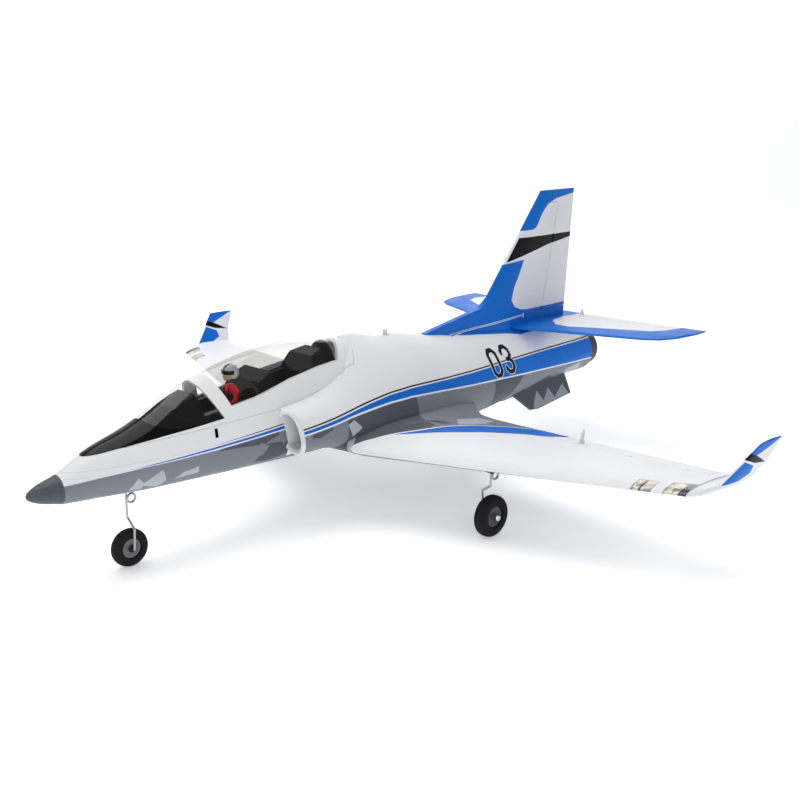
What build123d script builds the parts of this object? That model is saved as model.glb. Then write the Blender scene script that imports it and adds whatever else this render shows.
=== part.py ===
"""Radio-controlled ducted-fan sport jet in moulded foam, standing on its three wheels.

Millimetres. +Z is up, the nose points along -Y and the left wing along +X. The origin is on the
ground, under the middle of the model's length and on its plane of symmetry.
"""

import os
from math import copysign, cos, pi, radians, sin, tan

from build123d import *

# ---- driving dimensions -------------------------------------------------------------------
FOAM_WALL = 5.0
SKIN_GAP = 0.35  # clearance between a moving surface and the foam around it
OUTLINE_POINTS = 28  # points round one body section

NOSE_TIP_Y = -521.0
NOSE_JOINT_Y = -482.0
TAIL_JOINT_Y = 497.0
TAIL_END_Y = 521.0
NOSE_AXIS_Z = 121.0
FAN_AXIS_Z = 122.0
EXHAUST_AXIS_Z = 130.0

# station: y, half width, top, bottom, height of the widest line, upper power, lower power
POD_STATIONS = [
    (NOSE_JOINT_Y, 17.7, NOSE_AXIS_Z + 17.7, NOSE_AXIS_Z - 17.7, NOSE_AXIS_Z, 2.0, 2.0),
    (-450, 26.5, 155.0, 101.5, 125, 2.0, 2.2),
    (-413, 34.0, 168.0, 99.0, 128, 2.0, 2.3),
    (-375, 39.5, 181.0, 96.5, 131, 2.0, 2.4),
    (-340, 43.0, 199.0, 95.0, 133, 1.95, 2.4),
    (-295, 45.5, 218.5, 93.0, 134, 1.9, 2.4),
    (-245, 48.0, 232.5, 91.0, 135, 1.9, 2.4),
    (-194, 49.5, 241.0, 89.0, 135, 1.9, 2.4),
    (-146, 50.0, 243.0, 87.0, 135, 1.9, 2.4),
    (-90, 49.0, 238.5, 86.0, 134, 1.85, 2.4),
    (-40, 44.0, 233.0, 88.0, 133, 1.8, 2.4),
]
BODY_STATIONS = [
    (-206, 83.5, 170.0, 109.0, 139, 3.2, 3.4),
    (-172, 85.0, 174.0, 107.0, 138, 2.9, 3.2),
    (-120, 86.5, 190.0, 98.0, 134, 1.9, 2.9),
    (-60, 87.0, 233.0, 87.0, 131, 1.2, 2.6),
    (-10, 85.5, 232.0, 79.0, 129, 1.3, 2.4),
    (50, 81.0, 224.0, 73.5, 127, 1.4, 2.3),
    (120, 73.0, 212.0, 71.5, 126, 1.5, 2.3),
    (200, 63.5, 204.0, 74.0, 126, 1.55, 2.2),
    (300, 52.5, 197.0, 84.0, 127, 1.5, 2.1),
    (400, 44.0, 189.0, 92.0, 129, 1.5, 2.0),
    (TAIL_JOINT_Y, 36.5, 167.0, 94.0, 130, 1.9, 2.0),
]
# lower edge of the lift-off canopy hatch in side view: (y, z)
HATCH_EDGE = [(-456, 153.5), (-413, 159), (-340, 163.6), (-256, 166.4), (-173, 170), (-77, 190)]
HATCH_REAR_TOP = (-42, 250)
HATCH_CEILING = 260.0
GLARE_LOW = [(-413, 159), (-350, 166), (-276, 172)]
GLASS_FRONT_LOW = [(-374, 184), (-366, 177), (-349, 171.5), (-325, 170), (-276, 172)]
BOW_FRONT_TOP = (-303, 224)
BOW_REAR_TOP = (-282, 229)
SILL_LINE = [(-263, 184), (-226, 189), (-168, 202), (-118, 209), (-80, 211)]
GLASS_REAR = [(-70, 228), (-60, 242)]
HATCH_WALL = 4.0
GLASS_WALL = 1.0

HATCH_GAP = 0.4
SPIGOT_R = 9.0
FAN_HATCH_BLOCK = ((-34, 34), (92, 206), (60, 88))
LATCH_TUNNEL = ((-3, 3), (-66, -38), (211.5, 217.6))
LATCH_BOLT = ((-2.6, 2.6), (-58.5, 42), (212, 217))
LATCH_STEM = ((-1.8, 1.8), (34, 40), (216, 229.5))
LATCH_KNOB_CENTRE = (0, 37, 230.5)
LATCH_KNOB = (4.0, 3.0)  # radius, thickness
KNOB_SLOT = ((-2.2, 2.2), (32, 47), (210, 240))
SHOULDER_X = 39.5
VENT_SLOT = ((38, 52), (-293, -289), (151, 162))

# intake ducts: stations about their own centres
DUCT_STATIONS = [
    (-206, 19.0, 164.5, 113.0, 139, 2.2, 2.5),
    (-130, 18.5, 159.0, 110.5, 137, 2.2, 2.4),
    (-58, 16.5, 151.0, 107.0, 131, 2.1, 2.2),
    (20, 20.0, 150.0, 104.5, 127, 2.1, 2.1),
    (95, 17.0, 155.0, 89.0, 122, 2.1, 2.1),
]
DUCT_CENTRES = [62.0, 61.5, 60.5, 42.0, 18.0]
DUCT_WALL = 1.2
TUBE_STATIONS = [(150.5, FAN_AXIS_Z, 37.0), (330, 127.5, 32.0), (496.5, EXHAUST_AXIS_Z, 29.8)]
TUBE_WALL = 0.8
LIP_R = 3.2
LIP_FOOT_Y = -182.0
LIP_LEAN = 0.22

# wing
WING_ROOT_X = 65.0
WING_TIP_X = 506.0
WING_ROOT_LE_Y = -117.0
WING_SWEEP = 0.331
WING_TE_Y = 133.0
WING_ROOT_Z = 101.0
WING_DIHEDRAL = 1.65
WING_ROOT_THICK = 28.0
WING_TIP_THICK = 11.0
WING_CAMBER = 1.5
# moulded root fillet: x, leading edge y, trailing edge y, mid height, thickness
ROOT_SECTIONS = [
    (46, -124, 168, 114, 60),
    (70, -118, 156, 111, 50),
    (84, -112.5, 146, 106, 38),
    (100, -106, 138, 103, 31),
    (125, -97.5, 134, 103, 27.5),
]
# winglet: leading edge point, trailing edge point, thickness direction, thickness
WINGLET_SECTIONS = [
    ((506, 29, 113.7), (506, 133, 113.7), (0, 0, 1), 11.0),
    ((515, 42, 115), (516, 136, 114), (-0.2, 0, 0.98), 10.0),
    ((525, 68, 120), (529, 140, 117), (-0.64, 0, 0.77), 8.0),
    ((537, 91, 144), (541, 148, 139), (-0.83, 0, 0.56), 6.0),
    ((549, 114, 168), (550, 163.5, 167), (-0.82, 0, 0.57), 3.2),
]
HINGE_CHORD = 32.0  # flap and aileron chord
FLAP_SPAN = (128.0, 275.0)
AILERON_SPAN = (278.0, 486.0)
TE_THICKNESS = 1.6

# tailplane: x, leading edge y, trailing edge y, thickness
STAB_Z = 195.0
STAB_SECTIONS = [
    (0, 306, 489, 9.5),
    (70, 333, 494, 8.8),
    (140, 360, 499.5, 8.0),
    (205, 385, 504.5, 7.0),
    (226, 400, 506.5, 5.6),
    (238, 424, 507.5, 4.0),
    (244, 466, 508.5, 2.6),
]
ELEVATOR_SPAN = (14.0, 204.0)
ELEVATOR_CHORD = 28.0
ELEVATOR_INSET = 0.6

# fin: z, leading edge y, trailing edge y, thickness
FIN_SECTIONS = [
    (160, 182.0, 454.0, 16.0),
    (240, 247.5, 460.1, 14.0),
    (320, 313.0, 466.3, 11.0),
    (408, 385.0, 473.0, 8.0),
]
DORSAL = [(100, 204), (104, 211.5), (242, 236), (262, 250), (262, 200)]
DORSAL_THICK = 9.0
RUDDER_FOOT = (391.8, 214.0)
RUDDER_HEAD = (431.8, 404.0)
RUDDER_BARREL = 2.4
RUDDER_BEVELS = (32, 32)
BALANCE_Z = 388.5
BALANCE_REACH = 20.0
STRAKE = [(272, -14), (434, -14), (440, 30), (348, 40), (331, 38)]
STRAKE_CANT = 19.0
STRAKE_ROOT = (24.5, 95.0)
STRAKE_THICK = 5.0

# linkages
ROD_R = 0.8
ROD_SIDE = 2.9
OPEN_PIVOT_GAP = 0.35
ARM_THICK = 2.4
HORN_THICK = 2.0
SPLINE_R = 2.0
SERVO_LENGTH = 23.0
SERVO_WIDTH = 12.0
SERVO_HEIGHT = 22.0

PIN_R = 0.5
PIN_FIT = 0.05
BARREL_R = 1.3
KNUCKLE_WIDTH = 5.0

NOSE_WHEEL = dict(x=0.0, y=-396.0, r=24.0, width=15.0, hub_r=12.5)
MAIN_WHEEL = dict(x=248.0, y=-10.0, r=28.0, width=18.0, hub_r=14.0)
WIRE_R = 1.5
AXLE_FIT = 0.08


# landing gear, equipment and spar
GEAR_BLOCK_TOP = 104.0
SPAR_Z = 95.0
SPAR_R = 4.0
SPAR_BORE_R = 3.0
SPAR_REACH = 140.0
SPAR_SLIP = 0.05
STATORS = 5
BLADES = 12
AILERON_LINK_X = 300.0
LENS_ZONES = (
    [(444, -20), (467, -20), (467, 36), (444, 30)],
    [(480, -20), (505.9, -20), (505.9, 58), (480, 44)],
)

# elevator and rudder
ELEVATOR_HINGE_Y = 461.0
ELEVATOR_SWEEP = 0.0756
ELEVATOR_AXIS = ((14.0, 195.7), (204.0, 195.4))
ELEVATOR_BARREL = 1.3
RUDDER_FOOT_Z = 213.0

# cockpit
TUB_OUTLINE = [
    (-360, 157),
    (-360, 176),
    (-335, 192),
    (-303, 203),
    (-300, 178),
    (-222, 186),
    (-215, 204),
    (-192, 214),
    (-188, 190),
    (-128, 200),
    (-120, 222),
    (-98, 228),
    (-98, 157),
]
WELLS = ((24, (-298, -226)), (22, (-186, -132)))
WELL_FLOOR = 166.0
PILOT_SEAT = (0.0, -236.0, 167.0)
PILOT_TORSO = (27, 17, 34)
PILOT_NECK_R = 5.0
PILOT_HEAD_RISE = 49.0
PILOT_HEAD_R = 11.5


def save(name, *shapes):
    """Writes one node; several shapes are kept as separate solids of a group."""
    solids = [solid for shape in shapes for solid in shape.solids()]
    shape = solids[0] if len(solids) == 1 else Compound(children=solids)
    export_step(shape, f"parts/{name}.step")


def mirrored(shape):
    return shape.mirror(Plane.YZ)


def power_curve(value, power):
    return copysign(abs(value) ** (2 / power), value)


def section(station, inset=0.0, centre=0.0):
    """Closed smooth outline across the body at one station."""
    y, half_width, top, bottom, widest, upper, lower = station
    points = []
    for step in range(OUTLINE_POINTS):
        angle = 2 * pi * step / OUTLINE_POINTS
        rising = sin(angle) >= 0
        power = upper if rising else lower
        height = (top - widest if rising else widest - bottom) - inset
        x = centre + (half_width - inset) * power_curve(cos(angle), power)
        points.append((x, y, widest + height * power_curve(sin(angle), power)))
    return Wire([Spline(*points, periodic=True)])


def lofted(stations, inset=0.0, centres=None):
    centres = centres or [0.0] * len(stations)
    return Solid.make_loft([section(s, inset, c) for s, c in zip(stations, centres)])


def largest(shape):
    return max(shape.solids(), key=lambda solid: solid.volume)


def ruled(wires):
    loft = Solid.make_loft(wires, ruled=True)
    return loft if loft.volume > 0 else -loft


def side_prism(points, x_low=-200.0, x_high=200.0):
    """A side-view outline of (y, z) points carried across the model from x_low to x_high."""
    wire = Wire.make_polygon([(x_low, y, z) for y, z in points], close=True)
    return Solid.extrude(Face(wire), Vector(x_high - x_low, 0, 0))


def plan_prism(points, z_low, z_high):
    wire = Wire.make_polygon([(x, y, z_low) for x, y in points], close=True)
    return Solid.extrude(Face(wire), Vector(0, 0, z_high - z_low))


def block(x, y, z):
    """An axis-aligned block from three (low, high) pairs."""
    size = [high - low for low, high in (x, y, z)]
    centre = [(high + low) / 2 for low, high in (x, y, z)]
    return Pos(*centre) * Box(*size)


def rod(start, end, radius):
    start, end = Vector(*start), Vector(*end)
    length = (end - start).length
    return Plane(origin=start, z_dir=end - start) * Cylinder(
        radius, length, align=(Align.CENTER, Align.CENTER, Align.MIN)
    )


def turned_y(points, x=0.0, z=0.0):
    """A solid of revolution about the line through (x, z) along Y, from (y, radius) points."""
    wire = Wire.make_polygon([(x + r, y, z) for y, r in points], close=True)
    return Solid.revolve(Face(wire), 360, Axis((x, 0, z), (0, 1, 0)))


def turned_x(points, y, z):
    """A solid of revolution about the line through (y, z) along X, from (x, radius) points."""
    wire = Wire.make_polygon([(x, y, z + r) for x, r in points], close=True)
    return Solid.revolve(Face(wire), 360, Axis((0, y, z), (1, 0, 0)))


def airfoil(leading, trailing, up, thickness, tail=TE_THICKNESS, camber=0.0):
    """Closed aerofoil wire between two edge points, with its thickness measured along up."""
    leading, up = Vector(*leading), Vector(*up).normalized()
    chord = Vector(*trailing) - leading
    stations = [1.0, 0.85, 0.65, 0.45, 0.28, 0.15, 0.06, 0.015]

    def half(t):
        shape = 1.4845 * t**0.5 - 0.63 * t - 1.758 * t**2 + 1.4215 * t**3 - 0.518 * t**4
        return shape * thickness + tail / 2 * t

    def point(t, side):
        mean = camber * 4 * t * (1 - t)
        return leading + chord * t + up * (mean + side * half(t))

    upper = [point(t, 1) for t in stations]
    lower = [point(t, -1) for t in reversed(stations)]
    return Wire([Spline(*upper, leading, *lower), Edge.make_line(lower[-1], upper[0])])


# ---- control surface hinges ---------------------------------------------------------------
class Hinge:
    """A hinge line: its origin, unit direction, the way back over the surface, and up."""

    def __init__(self, start, end, back):
        self.start, self.end = Vector(*start), Vector(*end)
        self.along = (self.end - self.start).normalized()
        across = Vector(*back)
        self.back = (across - self.along * across.dot(self.along)).normalized()
        self.plane = Plane(origin=self.start, x_dir=self.back, z_dir=self.along)

    def at(self, distance):
        return Plane(
            origin=self.start + self.along * distance, x_dir=self.back, z_dir=self.along
        )

    def length(self):
        return (self.end - self.start).length

    def prism(self, outline, low, high):
        """An outline of (back, side) points carried along the hinge between two distances."""
        plane = self.at(low)
        wire = Wire.make_polygon([plane.from_local_coords(Vector(*p, 0)) for p in outline], close=True)
        return Solid.extrude(Face(wire), self.along * (high - low))

    def cylinder(self, radius, low, high):
        return self.at(low) * Cylinder(
            radius, high - low, align=(Align.CENTER, Align.CENTER, Align.MIN)
        )


REACH = 90.0
DEPTH = 30.0


def surface_region(hinge, bevels, low, high, barrel):
    """Space that belongs to the moving surface: barrel on the hinge line and bevelled edge."""
    first, second = bevels
    outline = [
        (0, 0),
        (DEPTH * tan(radians(first)), DEPTH),
        (REACH, DEPTH),
        (REACH, -DEPTH),
        (DEPTH * tan(radians(second)), -DEPTH),
    ]
    return hinge.prism(outline, low, high) + hinge.cylinder(barrel, low, high)


def fixed_cut(hinge, low, high, barrel):
    """Space taken out of the fixed foam for the moving surface and its gaps."""
    front = -barrel - SKIN_GAP
    outline = [(front, DEPTH), (REACH, DEPTH), (REACH, -DEPTH), (front, -DEPTH)]
    return hinge.prism(outline, low - SKIN_GAP, high + SKIN_GAP)


def hinge_solids(hinge, distances, barrel, side):
    """Pinned hinges of the fixed part, and what the moving surface loses to clear them."""
    hinges, notches = [], []
    half = KNUCKLE_WIDTH / 2
    thin = barrel * 0.75
    for distance in distances:
        leaf = hinge.prism(
            [(-10, thin / 2), (0, thin / 2), (0, -thin / 2), (-10, -thin / 2)],
            distance - half,
            distance + half,
        )
        knuckle = hinge.cylinder(thin, distance - half, distance + half)
        pin = hinge.cylinder(PIN_R, distance - half - 5, distance + half + 5)
        hinges.append(leaf + knuckle + pin)
        clear = half + 0.4
        back = thin + 0.5
        notch = hinge.prism(
            [(-DEPTH, side * DEPTH), (back, side * DEPTH), (back, -back * side), (-DEPTH, -back * side)],
            distance - clear,
            distance + clear,
        )
        hole = hinge.cylinder(PIN_R + PIN_FIT, distance - half - 5.4, distance + half + 5.4)
        notches.append(notch)
        notches.append(hole)
    return hinges, notches


def split_surface(full, hinge, bevels, low, high, distances, barrel, side=1):
    """Cuts a full surface into its fixed part and its moving part, with the hinges between."""
    fixed = full - fixed_cut(hinge, low, high, barrel)
    moving = full & surface_region(hinge, bevels, low, high, barrel)
    hinges, notches = hinge_solids(hinge, distances, barrel, side)
    for notch in notches:
        moving = moving - notch
    return fixed, max(moving.solids(), key=lambda solid: solid.volume), hinges


# ---- fuselage -----------------------------------------------------------------------------
os.makedirs("parts", exist_ok=True)

pod_outer = lofted(POD_STATIONS)
pod_inner = lofted(POD_STATIONS[1:-1], inset=FOAM_WALL)
pod_grown = lofted(POD_STATIONS, inset=-HATCH_GAP)
body_outer = lofted(BODY_STATIONS)
body_inner = lofted(BODY_STATIONS[2:], inset=FOAM_WALL)


def lip_y(z):
    """The intake plane leans forward at its top."""
    return LIP_FOOT_Y - LIP_LEAN * (z - 111)


lip_cut = side_prism([(-260, 300), (-260, 40), (lip_y(40), 40), (lip_y(300), 300)])
body_outer = body_outer - lip_cut

duct_outer = lofted(DUCT_STATIONS, centres=DUCT_CENTRES)
duct_inner = lofted(DUCT_STATIONS, inset=DUCT_WALL, centres=DUCT_CENTRES)


def hatch_prism(gap):
    edge = [(y, z + gap) for y, z in HATCH_EDGE]
    rear_y, rear_z = HATCH_REAR_TOP
    last_y, last_z = edge[-1]
    top = [(rear_y - gap, rear_z), (rear_y - gap, HATCH_CEILING), (edge[0][0], HATCH_CEILING)]
    return side_prism(edge[:-1] + [(last_y - gap, last_z)] + top)


def tube_loft(inset=0.0):
    """Solid inside the thrust tube's wall, or inside the wall's inner face."""
    circles = []
    for y, z, radius in TUBE_STATIONS:
        plane = Plane(origin=(0, y, z), z_dir=(0, 1, 0))
        circles.append(Wire.make_circle(radius - inset, plane))
    return ruled(circles)


def make_fuselage():
    """Left and right foam halves, joined on the plane of symmetry."""
    port_side = block((0, 200), (-600, 600), (0, 400))
    body = (body_outer & port_side) - body_inner - pod_outer - duct_outer
    shell = ((pod_outer & port_side) - pod_inner) + body
    shell = shell - (pod_grown & hatch_prism(0))
    shell = shell - rod((0, NOSE_JOINT_Y - 1, NOSE_AXIS_Z), (0, -470, NOSE_AXIS_Z), SPIGOT_R + 0.1)
    strut_x, strut_y = NOSE_WHEEL["x"], NOSE_WHEEL["y"]
    shell = shell - rod((strut_x, strut_y, 80), (strut_x, strut_y, 110), 3.2)
    shell = shell - block(*FAN_HATCH_BLOCK) - block(*VENT_SLOT)
    shell = shell - rod((0, 0, SPAR_Z), (SPAR_REACH, 0, SPAR_Z), SPAR_R + SPAR_SLIP)
    shell = shell - block(*LATCH_TUNNEL) - block(*KNOB_SLOT) - tube_loft()
    shell = shell - side_prism([(-140, 181), (-77, 192), (-42, 252), (-140, 252)], 0, SHOULDER_X)
    half = largest(shell)
    return half, mirrored(half)


def make_fan_hatch():
    x, y, z = FAN_HATCH_BLOCK
    gap = 0.3
    region = block((x[0] + gap, x[1] - gap), (y[0] + gap, y[1] - gap), z)
    cover = largest((body_outer - body_inner) & region)
    for sx in (-1, 1):
        for sy in (y[0] + 8, y[1] - 8):
            cover = cover - rod((sx * 24, sy, 60), (sx * 24, sy, 90), 1.6)
    return cover


def make_nose_cone():
    profile = [(NOSE_TIP_Y, 0.01), (-519.6, 3.2), (-514, 7.4), (-503, 12.0), (NOSE_JOINT_Y, 17.7)]
    points = [(r, y, NOSE_AXIS_Z) for y, r in profile]
    back = [(SPIGOT_R, NOSE_JOINT_Y), (SPIGOT_R, -471), (0, -471), (0, NOSE_TIP_Y)]
    line = Polyline(points[-1], *[(r, y, NOSE_AXIS_Z) for r, y in back], points[0])
    face = Face(Wire([Spline(*points), *line.edges()]))
    return Solid.revolve(face, 360, Axis((0, 0, NOSE_AXIS_Z), (0, 1, 0)))


def make_duct():
    """Left duct and the rolled lip round its mouth, as one moulding."""
    duct = largest(duct_outer - duct_inner - lip_cut - pod_outer)
    points = []
    for step in range(OUTLINE_POINTS):
        angle = 2 * pi * step / OUTLINE_POINTS
        z = 139 + 28.2 * power_curve(sin(angle), 2.4)
        points.append((62 + 21.2 * power_curve(cos(angle), 2.4), lip_y(z), z))
    path = Wire([Spline(*points, periodic=True)])
    plane = Plane(origin=path.position_at(0), z_dir=path.tangent_at(0))
    lip = Solid.sweep(Face(Wire.make_circle(LIP_R, plane)), path)
    lip = largest(lip - pod_outer - body_outer)
    return largest(duct + lip)


def make_nozzle():
    outer = [(TAIL_JOINT_Y, 28.4), (TAIL_JOINT_Y, 35.0), (TAIL_END_Y, 30.0), (TAIL_END_Y, 28.4)]
    return turned_y(outer, z=EXHAUST_AXIS_Z)


def make_thrust_tube():
    return tube_loft() - tube_loft(TUBE_WALL)


# ---- lifting surfaces ---------------------------------------------------------------------
def foil_half(t, thickness):
    shape = 1.4845 * t**0.5 - 0.63 * t - 1.758 * t**2 + 1.4215 * t**3 - 0.518 * t**4
    return shape * thickness + TE_THICKNESS / 2 * t


def wing_leading_y(x):
    return WING_ROOT_LE_Y + WING_SWEEP * (x - WING_ROOT_X)


def wing_mid_z(x):
    return WING_ROOT_Z + (x - WING_ROOT_X) * tan(radians(WING_DIHEDRAL))


def wing_thickness(x):
    along = (x - WING_ROOT_X) / (WING_TIP_X - WING_ROOT_X)
    return WING_ROOT_THICK + along * (WING_TIP_THICK - WING_ROOT_THICK)


def wing_section(x, leading, trailing, mid, thickness):
    return airfoil((x, leading, mid), (x, trailing, mid), (0, 0, 1), thickness, camber=WING_CAMBER)


def make_wing_blank():
    """Whole left wing panel with its moulded root fillet, before anything is cut out."""
    sections = [wing_section(*values) for values in ROOT_SECTIONS]
    for x in (170, WING_TIP_X):
        values = (x, wing_leading_y(x), WING_TE_Y, wing_mid_z(x), wing_thickness(x))
        sections.append(wing_section(*values))
    return largest(ruled(sections) - body_outer)


def wing_hinge(span):
    """Hinge line just under the top skin, one control chord ahead of the trailing edge."""
    ends = []
    for x in span:
        y = WING_TE_Y - HINGE_CHORD
        t = (y - wing_leading_y(x)) / (WING_TE_Y - wing_leading_y(x))
        top = foil_half(t, wing_thickness(x)) + WING_CAMBER * 4 * t * (1 - t)
        ends.append((x, y, wing_mid_z(x) + top - BARREL_R - 0.15))
    return Hinge(*ends, back=(0, 1, 0))


class Linkage:
    """Servo, arm, pushrod and horn that drive one surface as an exact parallelogram."""

    def __init__(self, hinge, distance, arm, servo_shift, horn_root, case_side=-1):
        self.axis = hinge.along
        self.back = hinge.back
        self.pivot = hinge.start + hinge.along * distance
        self.arm = Vector(*arm)
        self.shaft = self.pivot + Vector(*servo_shift)
        self.horn_root = Vector(*horn_root)
        self.case_side = case_side

    def bar(self, start, end, width, thick):
        """A flat bar with round ends, centred on the linkage plane."""
        length = (end - start).length
        plane = Plane(origin=start, x_dir=end - start, z_dir=self.axis)
        shape = plane * Pos(length / 2, 0, 0) * Box(length, width, thick)
        for at in (0, length):
            shape = shape + plane * Pos(at, 0, 0) * Cylinder(width / 2, thick)
        return shape

    def axle(self, point, radius, low, high):
        return rod(point + self.axis * low, point + self.axis * high, radius)

    def horn(self):
        tip = self.pivot + self.arm
        plate = self.bar(self.pivot + self.horn_root, tip, 5.0, HORN_THICK)
        return plate - self.axle(tip, ROD_R + OPEN_PIVOT_GAP, -5, 5)

    def servo_arm(self):
        tip = self.shaft + self.arm
        bar = self.bar(self.shaft, tip, 5.6, ARM_THICK)
        bar = bar - self.axle(tip, ROD_R + PIN_FIT, -5, 5)
        return bar - self.axle(self.shaft, SPLINE_R + PIN_FIT, -5, 5)

    def pushrod(self):
        """Wire beside the arm and the horn, bent through a hole in each."""
        side = -self.case_side * ROD_SIDE
        inner = self.case_side * (ARM_THICK / 2 + 0.2)
        front, back = self.shaft + self.arm, self.pivot + self.arm
        wire = self.axle(front, ROD_R, min(inner, side), max(inner, side))
        wire = wire + self.axle(back, ROD_R, min(inner, side), max(inner, side))
        wire = wire + rod(front + self.axis * side, back + self.axis * side, ROD_R)
        for end in (front, back):
            wire = wire + Pos(*(end + self.axis * side)) * Sphere(ROD_R)
        return wire

    def servo(self):
        """Servo case beside the arm, with its output shaft reaching through the arm."""
        near = ARM_THICK / 2 + 0.6
        plane = Plane(origin=self.shaft, x_dir=self.back, z_dir=self.axis)
        middle = self.case_side * (near + SERVO_HEIGHT / 2)
        case = plane * Pos(5.5, 0, middle) * Box(SERVO_LENGTH, SERVO_WIDTH, SERVO_HEIGHT)
        tip = -self.case_side * (ARM_THICK / 2 + 0.3)
        root = self.case_side * near
        return case, self.axle(self.shaft, SPLINE_R, min(root, tip), max(root, tip))

    def swing(self, half_angle, thick=8.6):
        """Room for the arm and the rod end over the whole travel."""
        reach = self.arm.length + 7
        plane = Plane(origin=self.shaft, x_dir=self.arm, z_dir=self.axis)
        spread = reach * tan(radians(half_angle))
        outline = [(-3.6, -4.2), (reach, -4.2 - spread), (reach, 4.2 + spread), (-3.6, 4.2)]
        corners = [plane.from_local_coords(Vector(x, y, -thick / 2)) for x, y in outline]
        return Solid.extrude(Face(Wire.make_polygon(corners, close=True)), self.axis * thick)


def make_wing():
    """Left wing, aileron with its horn, flap, hinges, winglet, and the aileron linkage."""
    blank = make_wing_blank()
    hinge = wing_hinge(AILERON_SPAN)
    length = hinge.length()
    stops = (20, length / 2, length - 20)
    wing, aileron, hinges = split_surface(blank, hinge, (4, 30), 0, length, stops, BARREL_R)
    inner = wing_hinge(FLAP_SPAN)
    length = inner.length()
    stops = (16, length / 2, length - 16)
    _, flap, more = split_surface(blank, inner, (1, 44), 0, length, stops, BARREL_R)
    wing = wing - fixed_cut(inner, 0, length, BARREL_R)
    hinges = hinges + more
    link = Linkage(hinge, AILERON_LINK_X - AILERON_SPAN[0], (0, 0, -16), (0, -55, -4), (0, 9, -1))
    case, shaft = link.servo()
    pocket = wing - case - link.swing(34)
    x, y = MAIN_WHEEL["x"], MAIN_WHEEL["y"]
    pocket = pocket - block((x - 12.3, x + 12.3), (y - 14.3, y + 10.3), (80, GEAR_BLOCK_TOP))
    pocket = pocket - rod((0, 0, SPAR_Z), (SPAR_REACH + 2, 0, SPAR_Z), SPAR_R + SPAR_SLIP)
    lenses = []
    for outline in LENS_ZONES:
        zone = plan_prism(outline, 80, 140)
        lenses.append(largest(blank & zone))
        pocket = pocket - zone
    horn = link.horn()
    fin = hinge.prism([(2, 2), (12, 19), (14, 19), (14, -1), (4, -1)], 21, 23)
    aileron = aileron + (horn - block((200, 400), (0, 200), (110, 120)))
    aileron = aileron + fin
    return largest(pocket), aileron, flap, hinges, case + shaft, link, lenses


def make_winglet():
    wires = [airfoil(*values, tail=1.2) for values in WINGLET_SECTIONS]
    return ruled(wires)


# ---- tail ---------------------------------------------------------------------------------
def surface_x(x, leading, trailing, thickness):
    return airfoil((x, leading, STAB_Z), (x, trailing, STAB_Z), (0, 0, 1), thickness)


def make_stabilizer():
    """Tailplane in one piece across the fin, and the left elevator cut from it."""
    right = [surface_x(-x, *rest) for x, *rest in reversed(STAB_SECTIONS[1:])]
    blank = ruled(right + [surface_x(x, *rest) for x, *rest in STAB_SECTIONS])
    ends = [(x, ELEVATOR_HINGE_Y + ELEVATOR_SWEEP * x, z) for x, z in ELEVATOR_AXIS]
    hinge = Hinge(*ends, back=(0, 1, 0))
    length = hinge.length()
    stops = (24, length / 2, length - 20)
    fixed, elevator, hinges = split_surface(blank, hinge, (4, 26), 0, length, stops, ELEVATOR_BARREL)
    cut = fixed_cut(hinge, 0, length, ELEVATOR_BARREL)
    fixed = fixed - mirrored(cut)
    horn = hinge.prism([(6, 0), (14, 10), (17, 10), (20, 0), (18, -7), (14, -7)], 11, 13)
    return largest(fixed - body_outer), elevator + horn, hinges


def make_fin(stabilizer):
    """Fin with its dorsal strip, and the rudder hinged on the fin's middle plane."""
    wires = [
        airfoil((0, leading, z), (0, trailing, z), (1, 0, 0), thickness)
        for z, leading, trailing, thickness in FIN_SECTIONS
    ]
    blank = ruled(wires)
    foot, head = [(0, y, z) for y, z in (RUDDER_FOOT, RUDDER_HEAD)]
    hinge = Hinge(foot, head, back=(0, 1, 0))
    length = hinge.length() + 30
    balance_y = RUDDER_HEAD[0] - BALANCE_REACH
    balance = side_prism([(balance_y, BALANCE_Z), (balance_y, 430), (560, 430), (560, BALANCE_Z)])
    gap = 0.9
    outline = [(balance_y - gap, BALANCE_Z - gap), (balance_y - gap, 430), (560, 430)]
    balance_space = side_prism(outline + [(560, BALANCE_Z - gap)])
    above_foot = side_prism([(300, RUDDER_FOOT_Z), (300, 500), (560, 500), (560, RUDDER_FOOT_Z)])
    clear_foot = Pos(0, 0, -0.8) * above_foot
    region = surface_region(hinge, RUDDER_BEVELS, -30, length, RUDDER_BARREL)
    region = region + balance
    moving = largest((blank & region) & above_foot)
    fixed = blank - (fixed_cut(hinge, -30, length, RUDDER_BARREL) & clear_foot) - balance_space
    stops = (24, 90, 150)
    hinges, notches = hinge_solids(hinge, stops, RUDDER_BARREL, 1)
    for notch in notches:
        moving = moving - notch
    dorsal = side_prism(DORSAL, -DORSAL_THICK / 2, DORSAL_THICK / 2)
    fixed = (largest(fixed) + dorsal) - body_outer - stabilizer
    return largest(fixed), largest(moving), hinges, hinge


def make_strake():
    """One of the two canted plates under the tail."""
    cant = radians(STRAKE_CANT)
    x, z = STRAKE_ROOT
    normal = Vector(cos(cant), 0, sin(cant))
    corners = []
    for y, depth in STRAKE:
        centre = Vector(x + depth * sin(cant), y, z - depth * cos(cant))
        corners.append(centre - normal * (STRAKE_THICK / 2))
    plate = Solid.extrude(Face(Wire.make_polygon(corners, close=True)), normal * STRAKE_THICK)
    return largest(plate - body_outer)


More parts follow.
